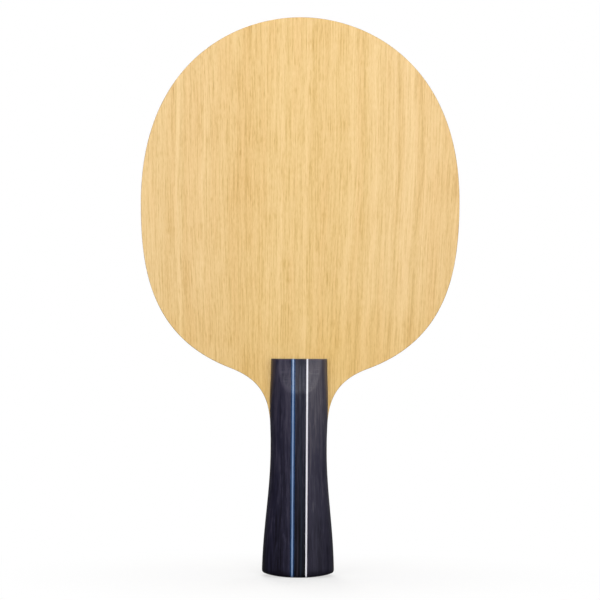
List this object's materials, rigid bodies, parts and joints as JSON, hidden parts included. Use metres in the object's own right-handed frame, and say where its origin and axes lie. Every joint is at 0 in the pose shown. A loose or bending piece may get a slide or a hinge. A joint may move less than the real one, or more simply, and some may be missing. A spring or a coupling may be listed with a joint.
{
  "type": "table tennis paddle",
  "caption": "Bare wooden table tennis blade: an oval laminated head with a thin neck and a flared, domed handle inlaid with coloured lines.",
  "frame": {"origin": "under the middle of the butt: mid-width, mid-thickness, at the lowest point of the domed butt", "axes": "+Z from the butt to the tip of the head, +X to the right seen from the front, -Y out of the front face"},
  "size_m": [0.1466, 0.025, 0.257],
  "materials": {
    "face_veneer": "satin, sanded, unpainted fine-grained pale gold veneer",
    "inner_ply": "sanded edge, unpainted",
    "core_wood": "sanded edge, unpainted",
    "dark_wood": "wood dyed near-black with a navy tint, satin lacquer",
    "dark_blue_veneer": "wood dyed dark blue, satin lacquer",
    "light_blue_veneer": "wood dyed light blue, satin lacquer",
    "white_veneer": "bleached wood, satin lacquer"
  },
  "bodies": {
    "root": {"front_face_veneer": "face_veneer", "front_inner_ply": "inner_ply", "front_middle_ply": "inner_ply", "core_ply": "core_wood", "back_middle_ply": "inner_ply", "back_inner_ply": "inner_ply", "back_face_veneer": "face_veneer", "front_left_block": "dark_wood", "front_left_dark_blue_veneer": "dark_blue_veneer", "front_light_blue_veneer": "light_blue_veneer", "front_right_dark_blue_veneer": "dark_blue_veneer", "front_centre_strip": "dark_wood", "front_white_veneer": "white_veneer", "front_right_block": "dark_wood", "back_left_block": "dark_wood", "back_left_dark_blue_veneer": "dark_blue_veneer", "back_light_blue_veneer": "light_blue_veneer", "back_right_dark_blue_veneer": "dark_blue_veneer", "back_centre_strip": "dark_wood", "back_white_veneer": "white_veneer", "back_right_block": "dark_wood"}
  },
  "joints": []
}
